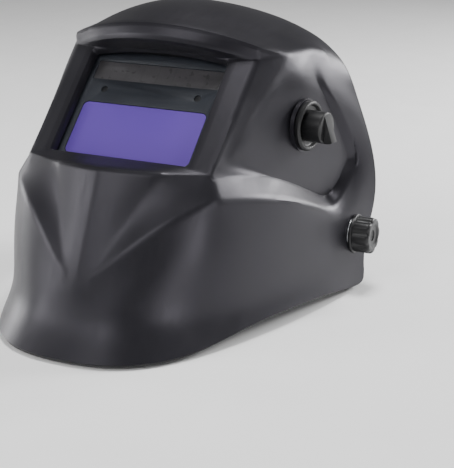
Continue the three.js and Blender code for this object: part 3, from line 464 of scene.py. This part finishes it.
# Sill, chin crease, three down the chin, rim.
FACE_SPOKES = (
    ((41, -30.2, -17), (66, -32, -33.5),
     (70.5, -35, -58), (71, -37, -82), (70, -39, -102), (75, -47, -120.5)),
    ((38.5, -31.5, -16.8), (52, -46, -40.5),
     (58.5, -47.5, -62), (58, -51, -84), (57.5, -56, -103), (62, -71, -122)),
    ((36, -32.8, -16.6), (33, -58.5, -54.5),
     (42, -60.5, -70), (44, -65, -88), (44, -69.5, -104), (47, -86, -122)),
    ((33, -34.3, -16.4), (14, -68.5, -72),
     (21, -71.5, -82), (26, -76, -94), (29, -80.5, -106), (31, -94.5, -122)),
    ((17, -39.5, -15.4), (6.5, -72, -78),
     (9, -75, -87), (11.5, -79, -97), (14, -84, -107), (15, -98, -122)),
    ((0, -42, -14.9), CHIN, (0, -76.5, -90), (0, -80.5, -99), (0, -85.5, -108), (0, -98.5, -122)),
)

# Crease strengths: ring, first spoke, last spoke; then spoke, first ring, last ring. 9 stays sharp.
RING_CREASES = ((0, 0, 21, 9), (1, 0, 21, 9), (2, 0, 4, 6), (3, 0, 4, 6), (2, 4, 15, 3), (3, 4, 14, 5),
                (2, 15, 21, 6), (5, 6, 10, 6), (5, 10, 14, 6), (6, 6, 10, 6), (6, 10, 15, 6),
                (6, 15, 20, 6), (10, 0, 21, 9))
SPOKE_CREASES = ((4, 2, 3, 3), (5, 3, 7, 2.2), (15, 2, 6, 5), (16, 2, 6, 5), (19, 2, 5, 1.2), (21, 2, 6, 4),
                 (8, 5, 6, 6))


def on_window(x, s, n):
    return (x, *(s * WINDOW_UP + n * WINDOW_OUT)[1:])


def mix(a, b, t):
    return tuple(p + (q - p) * t for p, q in zip(a, b))


def brow_spoke(k):
    w = BROW_SHARE[k]
    arch = 1 - w ** 2
    xo, yo, zo = BROW_LOW
    xh, yh, zh = BROW_HIGH
    spoke = [
        on_window(OPENING_HALF * w, OPENING_HIGH + 3 * arch, SEAT_RISE + FRAME_RISE * arch),
        on_window((OPENING_HALF + 0.8) * w, OPENING_HIGH + 0.8 + 3 * arch, FRAME_RISE * (1 + arch)),
        (xo * w, yo - 19.6 * (1 - w ** 2.35), zo + 13.1 * (1 - w ** 2.13)),
        (xh * w, yh - 15 * (1 - w ** 2.3), zh + 13.2 * (1 - w ** 2.15)),
    ]
    share = DOME_SHARE[k]
    for ring, (y0, z0, fullness) in enumerate(DOME_CENTRE):
        xt, yt, zt = SIDE_SPOKES[0][ring + 1]
        y = yt + (y0 - yt) * (1 - share ** 2)
        z = zt + (z0 - zt) * (1 - share ** fullness)
        spoke.append((xt * share, y, z))
    return spoke


def side_spoke(k):
    foot = k == len(SIDE_SPOKES) - 1
    s = OPENING_LOW - 0.8 if foot else OPENING_SIDE[k]
    return [
        on_window(OPENING_HALF, OPENING_LOW if foot else s, SEAT_RISE),
        on_window(OPENING_HALF + 0.8, s, FRAME_RISE),
        mix(BROW_LOW, CHEEK_LOW, FRAME_SHARE[k]),
        *SIDE_SPOKES[k],
    ]


def face_spoke(k):
    sill, crease, *chin = FACE_SPOKES[k]

    def facet(t):
        x, y, z = mix(sill, crease, t)
        return x, y + 4 * t * (1 - t) * FACET_SAG[k], z

    return [
        on_window(OPENING_FOOT[k], OPENING_LOW, SEAT_RISE),
        on_window(OPENING_FOOT[k], OPENING_LOW - 0.8, FRAME_RISE),
        sill,
        *(facet(t) for t in (0.1, 0.4, 0.7)),
        crease,
        *chin,
    ]


def shell_cage():
    """Points in metres in the row frame, faces turned outwards, and crease strength by edge."""
    spokes = [brow_spoke(k) for k in range(len(BROW_SHARE))]
    spokes += [side_spoke(k) for k in range(len(SIDE_SPOKES))]
    spokes += [face_spoke(k) for k in range(len(FACE_SPOKES))]
    half = len(spokes) - 1
    full = 2 * half
    points = []
    for ring in range(len(spokes[0])):
        for turn in range(full):
            x, y, z = spokes[full - turn if turn > half else turn][ring]
            points.append(WINDOW + Vector((-x if turn > half else x, y, z)) * MM)

    def at(ring, turn):
        return ring * full + turn % full

    faces = [
        (at(ring + 1, turn), at(ring + 1, turn + 1), at(ring, turn + 1), at(ring, turn))
        for ring in range(len(spokes[0]) - 1)
        for turn in range(full)
    ]
    creases = {}
    for ring, first, last, value in RING_CREASES:
        for turn in range(first, last):
            creases[frozenset((at(ring, turn), at(ring, turn + 1)))] = value
            creases[frozenset((at(ring, -turn), at(ring, -turn - 1)))] = value
    for turn, first, last, value in SPOKE_CREASES:
        for ring in range(first, last):
            creases[frozenset((at(ring, turn), at(ring + 1, turn)))] = value
            creases[frozenset((at(ring, -turn), at(ring + 1, -turn)))] = value
    return points, faces, creases


def crease_value(strength):
    """Blender's crease for a sharpness that lasts that many smoothing steps."""
    return 1.0 if strength >= 9 else math.sqrt(strength / 10)


def border_loops(mesh):
    """The open edges of a mesh as closed loops of points."""
    used = {}
    for face in mesh.polygons:
        for key in face.edge_keys:
            used[key] = used.get(key, 0) + 1
    near = {}
    for (a, b), count in used.items():
        if count == 1:
            near.setdefault(a, []).append(b)
            near.setdefault(b, []).append(a)
    loops = []
    while near:
        loop = [next(iter(near))]
        while True:
            ahead = [v for v in near.pop(loop[-1]) if v in near]
            if not ahead:
                break
            loop.append(ahead[0])
        loops.append([mesh.vertices[v].co.copy() for v in loop])
    return loops


def side_place(side):
    """Place whose Z runs outwards along the pivot axis from the pivot point."""
    return frame_on(Vector((side * PIVOT.x, PIVOT.y, PIVOT.z)), Vector((side, 0, 0)))


# Bosses and cutters of the shell, in millimetres along their own axis, outwards from its seat.
PIVOT_PAD = {"radius": 15, "from": -4.6, "to": 0.6}
PIVOT_FACE = {"radius": 14.6, "from": 0.6, "to": 6}
PIVOT_BORE = {"radius": 3.6, "from": -12, "to": 6}
STOP_PEG = {"radius": 2.5, "from": -7.6, "to": 0.8}
SHADE_PAD = {"radius": 18, "from": -2.6, "to": 0.2}
SHADE_BORE = {"radius": 4, "from": -12, "to": 4}
PEG_BELOW_PIVOT = 20 * MM
FOLD_ANGLE = 24


def build_shell():
    points, faces, creases = shell_cage()
    skin = from_points("shell_skin", points, faces)
    layer = skin.data.attributes.new("crease_edge", "FLOAT", "EDGE")
    for edge in skin.data.edges:
        layer.data[edge.index].value = crease_value(creases.get(frozenset(edge.vertices), 0))
    modify(skin, "SUBSURF", levels=FINE_STEPS, render_levels=FINE_STEPS)
    settle(skin)
    rim = max(border_loops(skin.data), key=lambda loop: max(p.y for p in loop))
    modify(skin, "SOLIDIFY", thickness=SHELL_WALL * MM, offset=-1.0)
    settle(skin)

    shade_place = frame_on(SHADE_SEAT, SHADE_AXIS)
    bosses = [(shade_place, SHADE_PAD)]
    cutters = [(shade_place, SHADE_BORE)]
    for _, side in SIDES:
        place = side_place(side)
        peg = Matrix.Translation((0, 0, -PEG_BELOW_PIVOT)) @ place
        bosses += [(place, PIVOT_PAD), (peg, STOP_PEG)]
        cutters += [(place, PIVOT_FACE), (place, PIVOT_BORE)]
    added = rods("shell_bosses", bosses)
    removed = rods("shell_cutters", cutters)
    modify(skin, "BOOLEAN", operation="UNION", object=added, solver="EXACT")
    modify(skin, "BOOLEAN", operation="DIFFERENCE", object=removed, solver="EXACT")
    settle(skin)
    for tool in (added, removed):
        bpy.data.objects.remove(tool)
    shade(skin, FOLD_ANGLE)
    finish_piece(skin, "shell")

    build_rim_flange(rim)


FLANGE_THICK = 1.6 * MM
FLANGE_REACH = 2.6 * MM  # how far it stands out round the dome
LIP_REACH = 0.7 * MM  # and along the lower edges
FLANGE_LOW = 15 * MM
FLANGE_FADE = 45 * MM
FLANGE_ROOT = 1.2 * MM  # how far it laps the wall
FLANGE_EASE = 0.5 * MM
DOME_MIDDLE_HEIGHT = 90 * MM


def build_rim_flange(rim):
    """Narrow flange that stiffens the free edge of the shell and stands out round the dome."""
    count = len(rim)
    middle = sum(rim, Vector()) / count
    middle.z = min(middle.z, DOME_MIDDLE_HEIGHT)
    rings = []
    for k, p in enumerate(rim):
        along = (rim[(k + 1) % count] - rim[k - 1]).normalized()
        away = p - middle
        away.y = 0
        out = (away - along * away.dot(along)).normalized()
        back = out.cross(along).normalized()
        back *= 1 if back.y > 0 else -1
        rise = min(1.0, max(0.0, (p.z - FLANGE_LOW) / FLANGE_FADE))
        reach = LIP_REACH + (FLANGE_REACH - LIP_REACH) * rise * rise * (3 - 2 * rise)
        half = FLANGE_THICK / 2
        rings.append([p - out * FLANGE_ROOT - back * half, p + out * reach - back * half,
                      p + out * reach + back * half, p - out * FLANGE_ROOT + back * half])
    points = [point for ring in rings for point in ring]
    faces = []
    for k in range(count):
        here, there = 4 * k, 4 * ((k + 1) % count)
        for side in range(4):
            turn = (side + 1) % 4
            faces.append((here + side, there + side, there + turn, here + turn))
    flange = from_points("rim_flange", points, faces)
    modify(flange, "BEVEL", width=FLANGE_EASE, segments=3, limit_method="ANGLE")
    settle(flange)
    face_outwards(flange)
    flange.data.materials.append(MATERIALS["black_plastic"])
    shade(flange, 60)
    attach(flange, "shell")


# ------------------------------------------------------------------ knobs
# Each knob's profile: radius and height in millimetres, and the share of the lobes' depth there.
SIDE_KNOB = ((3.3, 13.7, 0), (3.3, 2, 0), (13.5, 2, 0), (13.9, 2.4, 0), (13.9, 4.0, 0), (13.5, 4.4, 0),
             (12.9, 4.5, 0.6), (13.0, 5.2, 1), (13.0, 14.2, 1), (12.85, 15.2, 0.95), (12.3, 16.0, 0.85),
             (11.5, 16.5, 0.7), (10.6, 16.6, 0.4), (8.9, 16.6, 0), (8.4, 16.45, 0), (7.6, 15.8, 0),
             (7.0, 15.6, 0), (4.2, 15.3, 0), (3.8, 14.6, 0), (2.0, 14.4, 0))
RATCHET_KNOB = ((4.2, 9, 0), (4.2, 1.7, 0), (14.2, 1.7, 0.4), (15.3, 2.2, 0.8), (16, 3.4, 1), (16, 10.8, 1),
                (15.6, 12.0, 0.9), (14.6, 12.7, 0.7), (12.0, 12.7, 0), (11.2, 11.9, 0), (4, 11.7, 0))
SIDE_LOBES, SIDE_LOBE_DEPTH = 8, 1.6
RATCHET_LOBES, RATCHET_LOBE_DEPTH = 12, 1.5
NAPE_TO_COVER = 111.3 - 109  # from the knob's joint to the outside of the ratchet's cover


def build_knobs():
    for name, side in SIDES:
        node = f"side_knob_{name}"
        knob = turned_knob(f"{node}_piece", SIDE_KNOB, SIDE_LOBES, SIDE_LOBE_DEPTH, side_place(side))
        shade(knob, 50)
        finish_piece(knob, node)
    place = frame_on(NAPE + NAPE_AXIS * NAPE_TO_COVER * MM, NAPE_AXIS)
    knob = turned_knob("ratchet_knob_piece", RATCHET_KNOB, RATCHET_LOBES, RATCHET_LOBE_DEPTH, place)
    shade(knob, 50)
    finish_piece(knob, "ratchet_knob")


# ------------------------------------------------------------------ pads
PAD_SHRINK = 0.9 * MM
PAD_SWELL = 1.3 * MM
PAD_VOXEL = 4 * MM
CLOTH_PRESSURE = 4.0
CLOTH_STEPS = 20


def build_pad(node):
    """Foam in cloth: the CAD pad, drawn in a little and blown up as cloth, with its swelling capped."""
    pad = copy_of(node, f"{node}_piece")
    edit = bmesh.new()
    edit.from_mesh(pad.data)
    bmesh.ops.triangulate(edit, faces=edit.faces)
    edit.to_mesh(pad.data)
    edit.free()
    modify(pad, "REMESH", mode="VOXEL", voxel_size=PAD_VOXEL)
    modify(pad, "SMOOTH", factor=0.5, iterations=3)
    modify(pad, "DISPLACE", strength=-PAD_SHRINK, mid_level=0.0)
    settle(pad)
    start = np.array([v.co for v in pad.data.vertices])
    cloth = modify(pad, "CLOTH")
    cloth.settings.use_pressure = True
    cloth.settings.uniform_pressure_force = CLOTH_PRESSURE
    cloth.settings.effector_weights.gravity = 0
    cloth.settings.quality = 6
    scene = bpy.context.scene
    for step in range(1, CLOTH_STEPS + 1):
        scene.frame_set(step)
    settle(pad)
    scene.frame_set(1)
    move = np.array([v.co for v in pad.data.vertices]) - start
    far = np.linalg.norm(move, axis=1, keepdims=True)
    move *= np.minimum(1, PAD_SWELL / np.maximum(far, 1e-9))
    pad.data.vertices.foreach_set("co", (start + move).ravel())
    modify(pad, "SUBSURF", levels=1, render_levels=1)
    settle(pad)
    shade(pad, 80)
    finish_piece(pad, node)


# ------------------------------------------------------------------ straps and the rest
STRAP_EDGE = 0.3 * MM


def build_rear_straps():
    """Straps from the headband to the racks, with eased edges, left on no body and baked in place; the real ones
    bend as the ratchet draws the racks in.
    """
    for name, side in SIDES:
        node = f"rear_strap_{name}"
        strap = copy_of(node, f"{node}_piece")
        soften_edges(strap, STRAP_EDGE)
        shade(strap)
        finish_piece(strap, node, rides=False)
        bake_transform(strap)


PLAIN_EDGE = 0.25
REBUILT = {"shell", "side_knob_left", "side_knob_right", "ratchet_knob", "sweatband", "nape_pad",
           "rear_strap_left", "rear_strap_right"}
EDGE_RADIUS = {"shade_knob": 0.8, "shade_bezel": 0.4, "front_cover_lens": 0.1, "inner_cover_lens": 0.2,
               "filter_glass": 0.15, "solar_panel": 0.1, "friction_washer_left": 0.1,
               "friction_washer_right": 0.1, "headband": 0.5, "cartridge_holder": 0.6}


def finish_other_nodes():
    """Every other CAD node as a welded copy with eased edges and its own material."""
    for node in sorted(frame["nodes"]):
        if node in REBUILT:
            continue
        piece = copy_of(node, f"{node}_piece")
        soften_edges(piece, EDGE_RADIUS.get(node, PLAIN_EDGE) * MM)
        shade(piece)
        finish_piece(piece, node)


# ------------------------------------------------------------------ studio
IMAGE = (454, 468)
FOCAL_PIXELS = 1292
SENSOR = 36.0
CAMERA_AT = Vector((413.6, -709.3, 198.4)) * MM
CAMERA_AXES = ((0.8988, 0.4384, 0.0), (-0.1362, 0.2792, 0.9505), (0.4167, -0.8543, 0.3107))


def build_camera():
    data = bpy.data.cameras.new("camera")
    data.sensor_width = SENSOR
    data.lens = FOCAL_PIXELS * SENSOR / max(IMAGE)
    data.clip_start = 0.05
    camera = new_object("camera", data)
    axes = Matrix([Vector(axis).normalized() for axis in CAMERA_AXES]).transposed()
    camera.matrix_world = Matrix.Translation(WINDOW + CAMERA_AT) @ axes.to_4x4()
    bpy.context.scene.camera = camera


def soft_light(name, at, aim, size, power):
    data = bpy.data.lights.new(name, "AREA")
    data.shape = "RECTANGLE"
    data.size, data.size_y = size
    data.energy = power
    light = new_object(name, data)
    light.location = at
    light.rotation_euler = (Vector(at) - Vector(aim)).to_track_quat("Z", "Y").to_euler()


FLOOR_HALF = 3.0
FLOOR_DROP = 0.3 * MM
WORLD_STRENGTH = 0.2


def build_studio():
    corners = [(x * FLOOR_HALF, y * FLOOR_HALF, 0) for x, y in ((-1, -1), (1, -1), (1, 1), (-1, 1))]
    floor = from_points("floor", corners, [(0, 1, 2, 3)])
    floor.location.z = cad_box[0].z - FLOOR_DROP
    floor.data.materials.append(pale_floor())
    world = bpy.data.worlds.new("studio")
    world.use_nodes = True
    world.node_tree.nodes["Background"].inputs["Color"].default_value = (1, 1, 1, 1)
    world.node_tree.nodes["Background"].inputs["Strength"].default_value = WORLD_STRENGTH
    bpy.context.scene.world = world
    middle = (0, 0, 0.1)
    soft_light("side_light", (1.0, 0.95, 0.62), middle, (0.35, 0.35), 18)
    soft_light("rear_light", (0.62, 1.2, 0.5), middle, (0.3, 0.35), 8)
    soft_light("strip_light", (1.15, -0.7, 0.18), middle, (0.16, 0.5), 4.5)
    soft_light("top_light", (0.1, 0.15, 1.45), middle, (0.4, 0.4), 18)
    soft_light("front_light", (-0.2, -1.2, 0.95), middle, (0.6, 0.5), 5.5)
    soft_light("left_front_light", (-1.0, -0.8, 0.45), middle, (0.45, 0.5), 6)
    soft_light("left_light", (-1.3, 0.05, 0.22), middle, (0.4, 0.4), 6)


build_camera()
build_studio()
build_shell()
build_knobs()
build_pad("sweatband")
build_pad("nape_pad")
build_rear_straps()
finish_other_nodes()
